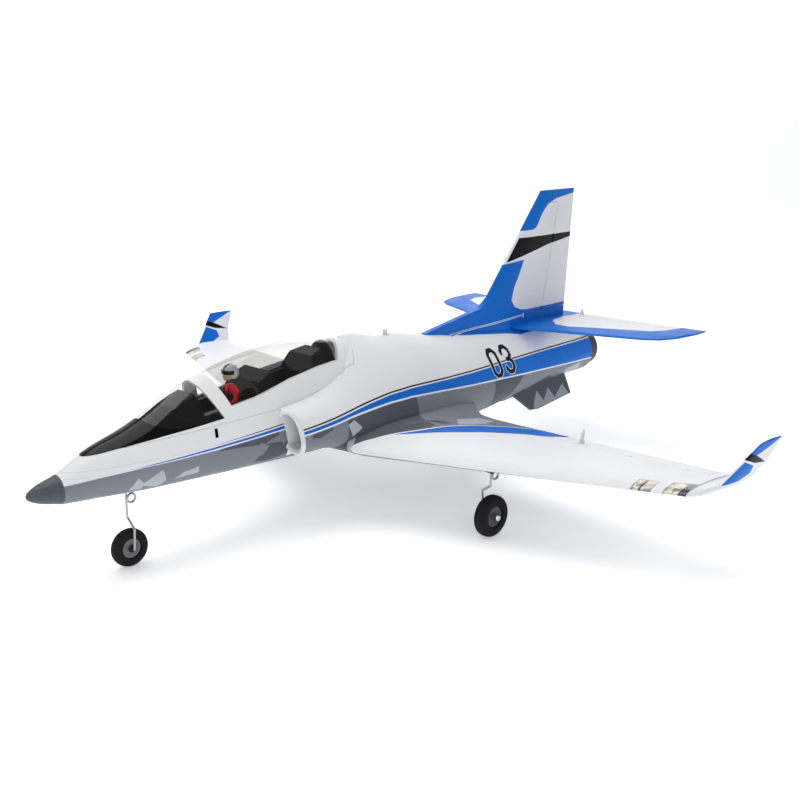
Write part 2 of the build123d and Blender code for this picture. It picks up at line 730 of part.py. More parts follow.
# ---- fan and equipment --------------------------------------------------------------------
def make_fan():
    """Fan housing with its stators, motor can, and the spinning rotor."""
    axis_z = FAN_AXIS_Z
    ring = [(97, 35.6), (97, 37.6), (150, 37.6), (150, 35.6)]
    housing = turned_y(ring, z=axis_z)
    hub = turned_y([(127, 14.2), (127, 16), (148, 16), (148, 14.2)], z=axis_z)
    housing = housing + hub
    for index in range(STATORS):
        vane = block((-0.8, 0.8), (130, 146), (15, 36.2))
        vane = vane.rotate(Axis.Y, 360 / STATORS * index)
        housing = housing + Pos(0, 0, axis_z) * vane
    web = turned_y([(127, 3.5), (127, 14.9), (128.8, 14.9), (128.8, 3.5)], z=axis_z)
    housing = housing + web
    for side in (-1, 1):
        low, high = sorted((side * 37, side * 62))
        ear = block((low, high), (122, 138), (axis_z - 3, axis_z + 3))
        housing = housing + (ear & body_inner)
    motor = turned_y([(129.2, 0), (129.2, 14.1), (158, 14.1), (158, 0)], z=axis_z)
    motor = motor - turned_y([(120, 0), (120, 2.6), (150, 2.6), (150, 0)], z=axis_z)
    spinner = [(96.5, 3.5), (99, 8.5), (102, 12.5), (106, 15.5), (124, 15.5), (124, 0)]
    rotor = turned_y([(96, 0), *spinner], z=axis_z)
    for index in range(BLADES):
        blade = Pos(0, 114, 24.6) * Rot(0, 0, 38) * Box(1.4, 19, 20.8)
        blade = blade & turned_y([(100, 0), (100, 35.1), (124, 35.1), (124, 0)])
        rotor = rotor + Pos(0, 0, axis_z) * blade.rotate(Axis.Y, 360 / BLADES * index)
    rotor = rotor + rod((0, 123, axis_z), (0, 148, axis_z), 2.5)
    return largest(housing), largest(motor), largest(rotor)


def make_equipment():
    """Battery tray, battery, speed controller and receiver inside the hull."""
    tray = block((-20, 20), (-350, -110), (104, 107))
    for y in (-330, -220, -130):
        rib = block((-60, 60), (y - 3, y + 3), (80, 104)) & pod_inner
        tray = tray + rib
    battery = block((-17, 17), (-320, -215), (107.2, 137))
    controller = block((-14, 14), (-34, 4), (101, 111))
    receiver = block((-11, 11), (-32, 2), (111.1, 123))
    plate = block((-20, 20), (-38, 6), (99.1, 101))
    return tray, battery, controller + plate, receiver


# ---- landing gear -------------------------------------------------------------------------
def bent_wire(points):
    wire = None
    for start, end in zip(points, points[1:]):
        piece = rod(start, end, WIRE_R) + Pos(*end) * Sphere(WIRE_R)
        wire = piece if wire is None else wire + piece
    return wire + Pos(*points[0]) * Sphere(WIRE_R)


def coil(centre, radius):
    """A turn of the strut's spring wire about an axis along X."""
    return Pos(*centre) * Rot(0, 90, 0) * Torus(radius, WIRE_R)


def wheel(spec):
    """Foam tyre and its hub, each a turned ring about the axle."""
    x, y, z = spec["x"], spec["y"], spec["r"]
    r, half, hub_r = spec["r"], spec["width"] / 2, spec["hub_r"]
    crown = [
        (half * 0.72, hub_r + 0.02),
        (half * 0.96, hub_r + 2.5),
        (half, hub_r + (r - hub_r) * 0.45),
        (half * 0.9, r - 4.2),
        (half * 0.66, r - 1.3),
        (half * 0.34, r - 0.2),
    ]
    outline = [(x + a, b) for a, b in crown] + [(x, r)] + [(x - a, b) for a, b in reversed(crown)]
    tyre = turned_x(outline, y, z)
    bore = WIRE_R + AXLE_FIT
    dish = half * 0.38
    rim = half * 0.72
    face = [(x - half, bore), (x - half, 4.5), (x - dish, 5.0), (x - dish, hub_r - 2.5)]
    face = face + [(x - rim, hub_r - 1.5), (x - rim, hub_r)]
    back = [(2 * x - a, b) for a, b in reversed(face)]
    hub = turned_x(face + back, y, z)
    return tyre, hub


def make_nose_gear():
    """Steerable strut: wire in a bearing block, spring coil, axle, and steering arm."""
    x, y, z = NOSE_WHEEL["x"], NOSE_WHEEL["y"], NOSE_WHEEL["r"]
    reach = NOSE_WHEEL["width"] / 2 + 4
    path = [(x, y, 133), (x, y, 63), (reach, y + 2, 50), (reach, y, z), (-reach + 1.5, y, z)]
    strut = bent_wire(path) + coil((x + 2.9, y + 5.5, 87.5), 5.5)
    strut = strut + rod((x, y, 129), (x, y, 131.5), 4)
    strut = strut + block((x, x + 15), (y - 2.5, y + 2.5), (129, 131.5))
    strut = strut + rod((x, y, 100.5), (x, y, 103.5), 3)
    collars = rod((-reach + 1.4, y, z), (-reach + 3.4, y, z), 3.2)
    strut = strut + collars
    mount = block((x - 9, x + 9), (y - 10, y + 10), (104, 128)) & pod_inner
    mount = mount - rod((x, y, 90), (x, y, 140), WIRE_R + AXLE_FIT)
    return largest(strut), largest(mount)


def make_main_gear():
    x, y, z = MAIN_WHEEL["x"], MAIN_WHEEL["y"], MAIN_WHEEL["r"]
    reach = MAIN_WHEEL["width"] / 2 + 5
    path = [(x, y - 2, 100), (x, y - 2, 70), (x - reach, y - 2, 60), (x - reach, y, z)]
    path = path + [(x + reach - 1.5, y, z)]
    strut = bent_wire(path) + coil((x + 2.9, y + 3.5, 84), 5.5)
    strut = strut + rod((x + reach - 3.4, y, z), (x + reach - 1.4, y, z), 3.2)
    mount = block((x - 12, x + 12), (y - 14, y + 10), (92, GEAR_BLOCK_TOP - 0.05))
    mount = mount - rod((x, y - 2, 80), (x, y - 2, 105), WIRE_R)
    return largest(strut), largest(mount)


# ---- canopy -------------------------------------------------------------------------------
def make_canopy():
    """Lift-off hatch: foam frame, anti-glare panel, two pieces of glazing and the cockpit."""
    closed = pod_outer & hatch_prism(HATCH_GAP)
    inner = lofted(POD_STATIONS, inset=HATCH_WALL)
    glass_inner = lofted(POD_STATIONS, inset=GLASS_WALL)
    ceiling = HATCH_CEILING + 5
    glare = GLARE_LOW + [*reversed(GLASS_FRONT_LOW[:-1]), (-374, ceiling), (-480, ceiling)]
    glare = side_prism([(-480, 140), *glare])
    bow_x = GLASS_FRONT_LOW[0][0]
    lean = (BOW_FRONT_TOP[0] - GLASS_FRONT_LOW[-1][0]) / (BOW_FRONT_TOP[1] - GLASS_FRONT_LOW[-1][1])
    bow_top = (BOW_FRONT_TOP[0] + lean * (ceiling - BOW_FRONT_TOP[1]), ceiling)
    front = side_prism([*GLASS_FRONT_LOW, BOW_FRONT_TOP, bow_top, (bow_x, ceiling)])
    lean = (BOW_REAR_TOP[0] - SILL_LINE[0][0]) / (BOW_REAR_TOP[1] - SILL_LINE[0][1])
    bow_top = (BOW_REAR_TOP[0] + lean * (ceiling - BOW_REAR_TOP[1]), ceiling)
    rear = side_prism([*SILL_LINE, *GLASS_REAR, (GLASS_REAR[-1][0], ceiling), bow_top, BOW_REAR_TOP])
    glass = closed - glass_inner
    frame = closed - inner - glare - front - rear
    panel = (closed - inner) & glare
    tub_shape = side_prism(TUB_OUTLINE)
    upper = (lofted(POD_STATIONS, inset=HATCH_WALL + 0.1) & tub_shape) & hatch_prism(HATCH_GAP + 0.6)
    lower = (lofted(POD_STATIONS, inset=8) & tub_shape) & block((-33, 33), (-380, -60), (150, 250))
    tub = upper + lower
    for half_width, y in WELLS:
        tub = tub - block((-half_width, half_width), y, (WELL_FLOOR, 250))
    return largest(frame), panel, glass & front, glass & rear, largest(tub)


def make_pilot():
    """Simple seated figure in the front seat, in three overlapping rounded masses."""
    x, y, z = PILOT_SEAT
    torso = Pos(x, y, z + PILOT_TORSO[2] / 2) * Box(*PILOT_TORSO)
    torso = fillet(torso.edges(), 5)
    head = (x, y, z + PILOT_HEAD_RISE)
    return torso + rod((x, y, z + PILOT_TORSO[2] - 4), head, PILOT_NECK_R) + Pos(*head) * Sphere(PILOT_HEAD_R)


def make_latch():
    """Sliding bolt with a stem up through the deck and a round thumb knob."""
    return block(*LATCH_BOLT) + block(*LATCH_STEM) + Pos(*LATCH_KNOB_CENTRE) * Cylinder(*LATCH_KNOB)


# ---- build and save -----------------------------------------------------------------------
def save_pair(name, left):
    """The left piece as modelled and the right piece as its mirror image."""
    save(f"left_{name}", left)
    save(f"right_{name}", mirrored(left))


left_half, right_half = make_fuselage()
save("left_fuselage", left_half)
save("right_fuselage", right_half)
save("fan_hatch", make_fan_hatch())
save("nose_cone", make_nose_cone())
left_duct = make_duct()
save("left_intake_duct", left_duct)
save("right_intake_duct", mirrored(left_duct))
save("nozzle_ring", make_nozzle())
save("thrust_tube", make_thrust_tube())

wing, aileron, flap, wing_hinges, aileron_servo, aileron_link, wing_lenses = make_wing()
save_pair("wing", wing)
save_pair("aileron", aileron)
save_pair("flap", flap)
save_pair("aileron_arm", aileron_link.servo_arm())
save_pair("aileron_rod", aileron_link.pushrod())
save("aileron_servos", aileron_servo, mirrored(aileron_servo))
save("light_lenses", *wing_lenses, *[mirrored(lens) for lens in wing_lenses])
left_winglet = make_winglet()
save("winglets", left_winglet, mirrored(left_winglet))
spar_ends = ((-SPAR_REACH, 0, SPAR_Z), (SPAR_REACH, 0, SPAR_Z))
save("wing_spar", rod(*spar_ends, SPAR_R) - rod(*spar_ends, SPAR_BORE_R))

stabilizer, elevator, elevator_hinges = make_stabilizer()
save("stabilizer", stabilizer)
save_pair("elevator", elevator)
fin, rudder, rudder_hinges, rudder_hinge = make_fin(stabilizer)
save("fin", fin)
save("rudder", rudder)
strake = make_strake()
save("ventral_strakes", strake, mirrored(strake))
side_hinges = wing_hinges + elevator_hinges
save("control_hinges", *side_hinges, *[mirrored(h) for h in side_hinges], *rudder_hinges)

fan_housing, fan_motor, fan_rotor = make_fan()
save("fan_housing", fan_housing)
save("fan_motor", fan_motor)
save("fan_rotor", fan_rotor)
for node, shape in zip(("battery_tray", "battery", "speed_controller", "receiver"), make_equipment()):
    save(node, shape)

nose_strut, nose_mount = make_nose_gear()
main_strut, main_mount = make_main_gear()
save("nose_strut", nose_strut)
save("main_struts", main_strut, mirrored(main_strut))
save("gear_mounts", nose_mount, main_mount, mirrored(main_mount))
nose_tyre, nose_hub = wheel(NOSE_WHEEL)
save("nose_tyre", nose_tyre)
save("nose_hub", nose_hub)
main_tyre, main_hub = wheel(MAIN_WHEEL)
save_pair("tyre", main_tyre)
save_pair("hub", main_hub)

canopy_nodes = ("canopy_frame", "glare_panel", "windscreen", "canopy_glass", "cockpit_tub")
for node, shape in zip(canopy_nodes, make_canopy()):
    save(node, shape)
save("pilot_figure", make_pilot())
save("canopy_latch", make_latch())
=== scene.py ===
"""Looks of the radio-controlled foam jet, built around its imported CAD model.

Metres. +Z is up, the nose points along -Y and the left wing along +X. Livery sizes are given in
millimetres in the same frame and turned into metres by the Paint helper.
"""

import math

import bmesh
import bpy
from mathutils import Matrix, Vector
from mathutils.bvhtree import BVHTree


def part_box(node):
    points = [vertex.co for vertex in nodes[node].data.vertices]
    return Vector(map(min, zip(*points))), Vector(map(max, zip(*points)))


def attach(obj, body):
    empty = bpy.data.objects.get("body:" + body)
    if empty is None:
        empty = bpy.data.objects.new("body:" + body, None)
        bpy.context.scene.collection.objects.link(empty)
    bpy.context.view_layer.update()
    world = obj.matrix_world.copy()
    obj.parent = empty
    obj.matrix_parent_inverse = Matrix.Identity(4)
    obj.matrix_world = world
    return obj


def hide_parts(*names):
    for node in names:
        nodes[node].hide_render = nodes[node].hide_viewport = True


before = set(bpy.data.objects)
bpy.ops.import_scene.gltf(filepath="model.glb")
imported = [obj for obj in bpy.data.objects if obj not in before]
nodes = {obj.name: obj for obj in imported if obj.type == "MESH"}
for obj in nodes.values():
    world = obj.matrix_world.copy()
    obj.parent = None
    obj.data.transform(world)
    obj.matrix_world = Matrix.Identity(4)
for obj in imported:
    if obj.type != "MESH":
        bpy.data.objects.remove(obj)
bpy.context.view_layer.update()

MM = 0.001
WHITE = (0.79, 0.80, 0.825)
BLUE = (0.002, 0.145, 0.60)
BLACK = (0.003, 0.003, 0.004)
DARK_GREY = (0.085, 0.098, 0.118)
MID_GREY = (0.205, 0.225, 0.255)
LIGHT_GREY = (0.43, 0.46, 0.51)
EDGE_SOFT = 0.35  # blur of a painted edge, mm
FOAM_BEADS = 210.0  # moulded foam cells in a metre
FOAM_GRAIN = 900.0
DIHEDRAL = 0.0288  # rise of the wing for each unit of span
NUMERAL_Y, NUMERAL_Z = 242, 158  # middle of the side numerals, mm
NUMERAL_LEAN = 0.13
HELMET_DROP = 11.6  # from the top of the pilot to the middle of the helmet, mm
CAP_LENGTH, CAP_RADIUS = 0.0045, 0.0046  # axle caps

# The azimuth runs from the nose round to the left wing. Both angles are in degrees.
CAMERA_AZIMUTH = 45.5
CAMERA_ELEVATION = 15.592
CAMERA_DISTANCE = 1.61936
CAMERA_TARGET = Vector((0, 0.0675, 0.12))
CAMERA_LENS = 49.05
CAMERA_SENSOR = 36.0


# ---- painting by position -----------------------------------------------------------------
class Paint:
    """One material whose colours are painted by where a point lies on the model."""

    def __init__(self, name, base=WHITE, roughness=0.42):
        self.material = bpy.data.materials.new(name)
        self.material.use_nodes = True
        self.tree = self.material.node_tree
        self.shader = self.tree.nodes["Principled BSDF"]
        self.shader.inputs["Roughness"].default_value = roughness
        self.shader.inputs["Specular IOR Level"].default_value = 0.15
        coords = self.tree.nodes.new("ShaderNodeTexCoord")
        self.place = coords.outputs["Object"]
        scaled = self.tree.nodes.new("ShaderNodeVectorMath")
        scaled.operation = "SCALE"
        self.tree.links.new(self.place, scaled.inputs[0])
        scaled.inputs["Scale"].default_value = 1 / MM
        split = self.tree.nodes.new("ShaderNodeSeparateXYZ")
        self.tree.links.new(scaled.outputs[0], split.inputs[0])
        self.x, self.y, self.z = split.outputs
        self.side = self.math("ABSOLUTE", self.x)
        self.colour = self.constant(base)

    def constant(self, colour):
        node = self.tree.nodes.new("ShaderNodeRGB")
        node.outputs[0].default_value = (*colour, 1)
        return node.outputs[0]

    def feed(self, socket, value):
        """Set a socket to a number or a colour, or link it to another node's output."""
        if isinstance(value, (int, float)):
            socket.default_value = value
        elif isinstance(value, tuple):
            socket.default_value = (*value, 1)
        else:
            self.tree.links.new(value, socket)

    def math(self, operation, *values, clamp=False):
        node = self.tree.nodes.new("ShaderNodeMath")
        node.operation = operation
        node.use_clamp = clamp
        for socket, value in zip(node.inputs, values):
            self.feed(socket, value)
        return node.outputs[0]

    def mix(self, factor, first, second, blend="MIX"):
        """Colour that goes from first to second as factor goes from 0 to 1."""
        node = self.tree.nodes.new("ShaderNodeMix")
        node.data_type = "RGBA"
        node.blend_type = blend
        for socket, value in (("Factor", factor), ("A", first), ("B", second)):
            self.feed(node.inputs[socket], value)
        return node.outputs["Result"]

    def step(self, distance, soft=EDGE_SOFT):
        """1 where the signed distance in mm is positive, 0 where it is negative."""
        return self.math("MULTIPLY_ADD", distance, 1 / soft, 0.5, clamp=True)

    def past(self, u, limit):
        return self.step(self.math("SUBTRACT", u, limit))

    def short_of(self, u, limit):
        return self.step(self.math("SUBTRACT", limit, u))

    def outside(self, mask):
        return self.math("SUBTRACT", 1.0, mask)

    def line(self, first, second, u, v):
        """Signed distance from a line, positive on the left of first to second."""
        (au, av), (bu, bv) = first, second
        length = math.hypot(bu - au, bv - av)
        ku, kv = -(bv - av) / length, (bu - au) / length
        part = self.math("MULTIPLY_ADD", u, ku, -(au * ku + av * kv))
        return self.math("MULTIPLY_ADD", v, kv, part)

    def all_of(self, *masks):
        result = masks[0]
        for mask in masks[1:]:
            result = self.math("MINIMUM", result, mask)
        return result

    def any_of(self, *masks):
        result = masks[0]
        for mask in masks[1:]:
            result = self.math("MAXIMUM", result, mask)
        return result

    def without(self, mask, other):
        return self.math("SUBTRACT", mask, other, clamp=True)

    def polygon(self, corners, u, v):
        """Mask of a convex polygon in the plane of u and v."""
        area = sum(a[0] * b[1] - b[0] * a[1] for a, b in zip(corners, corners[1:] + corners[:1]))
        if area < 0:
            corners = corners[::-1]
        sides = [self.line(a, b, u, v) for a, b in zip(corners, corners[1:] + corners[:1])]
        return self.step(self.all_of(*sides))

    def curve(self, points, u):
        """A value that follows (u, value) points, straight between them."""
        low_u, high_u = points[0][0], points[-1][0]
        low_v = min(p[1] for p in points) - 1
        high_v = max(p[1] for p in points) + 1
        scaled = self.math("MULTIPLY_ADD", u, 1 / (high_u - low_u), -low_u / (high_u - low_u), clamp=True)
        node = self.tree.nodes.new("ShaderNodeFloatCurve")
        self.tree.links.new(scaled, node.inputs["Value"])
        line = node.mapping.curves[0]
        spots = [((a - low_u) / (high_u - low_u), (b - low_v) / (high_v - low_v)) for a, b in points]
        for spot in spots[1:-1]:
            line.points.new(*spot)
        line.points[0].location = spots[0]
        line.points[-1].location = spots[-1]
        for point in line.points:
            point.handle_type = "VECTOR"
        node.mapping.update()
        return self.math("MULTIPLY_ADD", node.outputs[0], high_v - low_v, low_v)

    def above(self, points, u, v):
        return self.step(self.math("SUBTRACT", v, self.curve(points, u)))

    def between(self, low, high, u, v):
        return self.without(self.above(low, u, v), self.above(high, u, v))

    def span(self, u, low, high):
        return self.all_of(self.past(u, low), self.short_of(u, high))

    def stroke(self, paths, u, v):
        """Distance in mm to the nearest of several polylines."""
        nearest = None
        for path in paths:
            for (au, av), (bu, bv) in zip(path, path[1:]):
                du, dv = bu - au, bv - av
                size = du * du + dv * dv
                part = self.math("MULTIPLY_ADD", u, du / size, -(au * du + av * dv) / size)
                part = self.math("MULTIPLY_ADD", v, dv / size, part, clamp=True)
                gap_u = self.math("SUBTRACT", u, self.math("MULTIPLY_ADD", part, du, au))
                gap_v = self.math("SUBTRACT", v, self.math("MULTIPLY_ADD", part, dv, av))
                squared = self.math("MULTIPLY_ADD", gap_u, gap_u, self.math("MULTIPLY", gap_v, gap_v))
                nearest = squared if nearest is None else self.math("MINIMUM", nearest, squared)
        return self.math("SQRT", nearest)

    def add(self, mask, colour):
        """Paint a colour over the earlier ones, where the mask is 1."""
        self.colour = self.mix(mask, self.colour, colour)

    def noise(self, scale, detail=3.0):
        node = self.tree.nodes.new("ShaderNodeTexNoise")
        node.inputs["Scale"].default_value = scale
        node.inputs["Detail"].default_value = detail
        self.tree.links.new(self.place, node.inputs["Vector"])
        return node.outputs["Fac"]

    def cells(self, scale):
        node = self.tree.nodes.new("ShaderNodeTexVoronoi")
        node.inputs["Scale"].default_value = scale
        self.tree.links.new(self.place, node.inputs["Vector"])
        return node.outputs["Distance"]

    def bump(self, height, strength, distance, previous=None):
        node = self.tree.nodes.new("ShaderNodeBump")
        node.inputs["Strength"].default_value = strength
        node.inputs["Distance"].default_value = distance
        self.tree.links.new(height, node.inputs["Height"])
        if previous is not None:
            self.tree.links.new(previous, node.inputs["Normal"])
        return node.outputs[0]

    def vary(self, source, low, high):
        """Spread the middle of a noise over the range from low to high."""
        node = self.tree.nodes.new("ShaderNodeMapRange")
        node.inputs["From Min"].default_value = 0.3
        node.inputs["From Max"].default_value = 0.7
        node.inputs["To Min"].default_value = low
        node.inputs["To Max"].default_value = high
        self.tree.links.new(source, node.inputs["Value"])
        return node.outputs[0]

    def finish(self, shade=0.05, rough=(0.34, 0.5), bead=None, seams=None):
        """Beaded-foam surface: faint cells, soft tone changes, seam lines, uneven gloss."""
        tone = self.vary(self.noise(9.0), 1 - shade, 1.0)
        colour = self.mix(1.0, self.colour, tone, "MULTIPLY")
        if seams is not None:
            colour = self.mix(self.math("MULTIPLY", seams, 0.55), colour, (0.16, 0.17, 0.19))
        self.tree.links.new(colour, self.shader.inputs["Base Color"])
        self.tree.links.new(self.vary(self.noise(35.0), *rough), self.shader.inputs["Roughness"])
        normal = self.bump(self.noise(FOAM_GRAIN, 2.0), 0.12, 0.0002)
        if bead:
            normal = self.bump(self.cells(bead), 0.16, 0.0003, normal)
        if seams is not None:
            normal = self.bump(self.outside(seams), 0.6, 0.0005, normal)
        self.tree.links.new(normal, self.shader.inputs["Normal"])
        return self.material


def simple(name, colour, roughness, metallic=0.0, grain=400.0, bump=0.1, spread=0.08, coat=0.0):
    """A one-colour finish with fine grain, tone changes and uneven gloss."""
    paint = Paint(name, colour, roughness)
    paint.shader.inputs["Metallic"].default_value = metallic
    paint.shader.inputs["Coat Weight"].default_value = coat
    tone = paint.vary(paint.noise(60.0), 0.82, 1.0)
    toned = paint.mix(1.0, paint.colour, tone, "MULTIPLY")
    paint.tree.links.new(toned, paint.shader.inputs["Base Color"])
    rough = paint.vary(paint.noise(120.0), roughness - spread, roughness + spread)
    paint.tree.links.new(rough, paint.shader.inputs["Roughness"])
    normal = paint.bump(paint.noise(grain, 4.0), bump, 0.0002)
    paint.tree.links.new(normal, paint.shader.inputs["Normal"])
    return paint.material


def give(material, *names):
    """Put one material on each named CAD node."""
    for name in names:
        target = nodes[name]
        target.data.materials.clear()
        target.data.materials.append(material)
        for polygon in target.data.polygons:
            polygon.material_index = 0


# ---- livery -------------------------------------------------------------------------------
def camo(paint, patches, u, v, within):
    """Paint patches of (colour, corners), each only where the mask within is 1."""
    for colour, corners in patches:
        paint.add(paint.all_of(paint.polygon(corners, u, v), within), colour)


def raised(points, by):
    """The same outline, moved up by so many mm."""
    return [(u, v + by) for u, v in points]


def fuselage_paint():
    """White hull, grey camouflage below, and a blue stripe with black and white pin lines."""
    paint = Paint("fuselage_livery")
    y, z = paint.y, paint.z
    ahead = paint.step(paint.line((-182, 111), (-196, 175), y, z))
    behind = paint.outside(ahead)
    nose_grey = [(-490, 128), (-443, 132), (-391, 134.2), (-293, 135.2), (-175, 140.6)]
    hull_grey = [
        (-200, 137), (-171, 138.6), (-104, 145), (-24, 149), (17, 149), (84, 144), (157, 138),
        (293, 128.6), (445, 120.6), (497, 118.4),
    ]
    below_nose = paint.all_of(paint.outside(paint.above(nose_grey, y, z)), ahead)
    below_hull = paint.all_of(paint.outside(paint.above(hull_grey, y, z)), behind)
    paint.add(paint.any_of(below_nose, below_hull), MID_GREY)
    camo(paint, [
        (DARK_GREY, [(-296, 121), (-286, 140), (-150, 145), (-150, 122), (-222, 128), (-262, 114)]),
        (DARK_GREY, [(-222, 128), (-150, 122), (-150, 110), (-212, 100), (-232, 104)]),
        (LIGHT_GREY, [(-408, 108), (-398, 123), (-391, 115), (-391, 106)]),
        (LIGHT_GREY, [(-396, 112), (-367, 127), (-361, 111), (-370, 104)]),
        (LIGHT_GREY, [(-350, 110), (-339, 117), (-318, 120), (-317, 111)]),
        (MID_GREY, [(-258, 112), (-226, 131), (-214, 124), (-222, 114), (-240, 108)]),
        (MID_GREY, [(-200, 142), (-190, 142), (-183, 128), (-192, 120)]),
    ], y, z, below_nose)
    camo(paint, [
        (DARK_GREY, [(-112, 152), (24, 152), (24, 60), (-112, 60)]),
        (DARK_GREY, [(-172, 141), (-138, 144), (-138, 137), (-160, 130), (-172, 132)]),
        (LIGHT_GREY, [(-112, 138), (-100, 142), (-88, 130), (-104, 120)]),
        (DARK_GREY, [(212, 140), (300, 132), (262, 96), (230, 60), (212, 60)]),
        (DARK_GREY, [(330, 100), (372, 112), (410, 96), (360, 80)]),
        (LIGHT_GREY, [(420, 112), (462, 118), (470, 104), (436, 98)]),
    ], y, z, below_hull)
    nose_white = raised(nose_grey, 2.2)
    stripe_in = paint.past(y, -440)
    white_low = paint.between(nose_grey, nose_white, y, z)
    paint.add(paint.all_of(white_low, ahead, stripe_in), WHITE)
    blue_low = [(-400, 134.9), (-376, 135.2), (-293, 137.2), (-236, 139.6), (-175, 142.6)]
    blue_top = [(-400, 135), (-376, 136.4), (-293, 139.6), (-236, 142.6), (-175, 147)]
    paint.add(paint.all_of(paint.between(blue_low, blue_top, y, z), ahead), BLUE)
    black_low = [(-300, 141.2), (-236, 144.8), (-175, 148.6)]
    black_top = [(-300, 141.3), (-236, 146), (-175, 150.3)]
    paint.add(paint.all_of(paint.between(black_low, black_top, y, z), ahead), BLACK)
    low = [
        (-200, 139), (-171, 140.6), (-104, 147), (-24, 151), (17, 151), (84, 146), (157, 140),
        (293, 131), (445, 123), (497, 120.8),
    ]
    top = [
        (-200, 143.2), (-171, 145), (-101, 151), (-19, 159), (22, 160.2), (91, 157.2), (165, 155.2),
        (303, 154.2), (497, 154),
    ]
    whites = paint.between(raised(low, -2.3), low, y, z)
    paint.add(paint.all_of(whites, behind), (0.80, 0.83, 0.88))
    paint.add(paint.all_of(paint.between(low, top, y, z), behind), BLUE)
    line_low = raised(top, 1.7)
    line_top = raised(top, 3.6)
    paint.add(paint.all_of(paint.between(line_low, line_top, y, z), behind), BLACK)
    tail_top = [(140, 209), (168, 203.6), (230, 197), (290, 190), (325, 184), (497, 184)]
    paint.add(paint.all_of(paint.above(tail_top, y, z), paint.past(y, 150)), BLUE)
    inlet = paint.all_of(paint.span(paint.y, -193, -60), paint.span(paint.z, 100, 168),
                         paint.short_of(paint.side, 53), behind)
    paint.add(inlet, WHITE)
    vent = paint.all_of(paint.span(paint.y, -293.2, -288.8), paint.span(paint.z, 150.8, 162.2))
    paint.add(vent, BLACK)
    add_pinstripe(paint)
    add_numerals(paint)
    centre = paint.short_of(paint.side, 0.35)
    shoulder = [(-172, 174), (-110, 190), (-56, 203), (-44, 222)]
    seam = paint.between(shoulder, raised(shoulder, 0.9), y, z)
    seam = paint.all_of(seam, paint.short_of(y, -46), behind)
    belly = [(60, 96), (110, 92), (190, 112), (300, 126)]
    fairing = paint.between(belly, raised(belly, 0.8), y, z)
    fairing = paint.all_of(fairing, paint.span(y, 62, 298))
    return paint.finish(bead=FOAM_BEADS, seams=paint.any_of(centre, seam, fairing))


def add_numerals(paint):
    """A black 0 and 3 with a thin white edge, readable from both sides."""
    facing = paint.math("SIGN", paint.x)
    reading = paint.math("MULTIPLY", facing, paint.math("SUBTRACT", paint.y, NUMERAL_Y))
    lean = paint.math("MULTIPLY_ADD", paint.z, NUMERAL_LEAN, -NUMERAL_LEAN * NUMERAL_Z)
    u = paint.math("ADD", reading, paint.math("MULTIPLY", facing, lean))
    v = paint.math("SUBTRACT", paint.z, NUMERAL_Z)
    w, h, cut, gap = 9.6, 18.4, 5.4, 17.0
    zero = [
        (-w, cut - h), (-w, h - cut), (cut - w, h), (w - cut, h), (w, h - cut), (w, cut - h),
        (w - cut, -h), (cut - w, -h), (-w, cut - h),
    ]
    three_top = [(-w, h - 8), (-w, h - cut), (cut - w, h), (w - cut, h), (w, h - cut), (w, 5.6), (4.4, 0.4)]
    three_low = [
        (-1.8, 0.4), (4.4, 0.4), (w, -5), (w, cut - h), (w - cut, -h), (cut - w, -h),
        (-w, cut - h), (-w, 8 - h),
    ]
    left_paths = [[(a - gap, b) for a, b in zero]]
    right_paths = [[(a + gap, b) for a, b in path] for path in (three_top, three_low)]
    distance = paint.stroke(left_paths + right_paths, u, v)
    paint.add(paint.short_of(distance, 4.2), (0.72, 0.76, 0.82))
    paint.add(paint.short_of(distance, 3.1), BLACK)


def add_pinstripe(paint):
    """Light double line along the foot of the dorsal strip and the fin."""
    path = [(150, 202.6), (260, 207.6), (343, 212)]
    along = paint.span(paint.y, 166, 343)
    outer = paint.between(raised(path, -1.5), raised(path, 1.5), paint.y, paint.z)
    inner = paint.between(raised(path, -0.5), raised(path, 0.5), paint.y, paint.z)
    end_bar = paint.all_of(paint.span(paint.y, 340.5, 343.5), paint.span(paint.z, 207.5, 214.5))
    paint.add(paint.any_of(paint.all_of(outer, along), end_bar), (0.72, 0.77, 0.85))
    paint.add(paint.all_of(inner, along), (0.03, 0.12, 0.36))


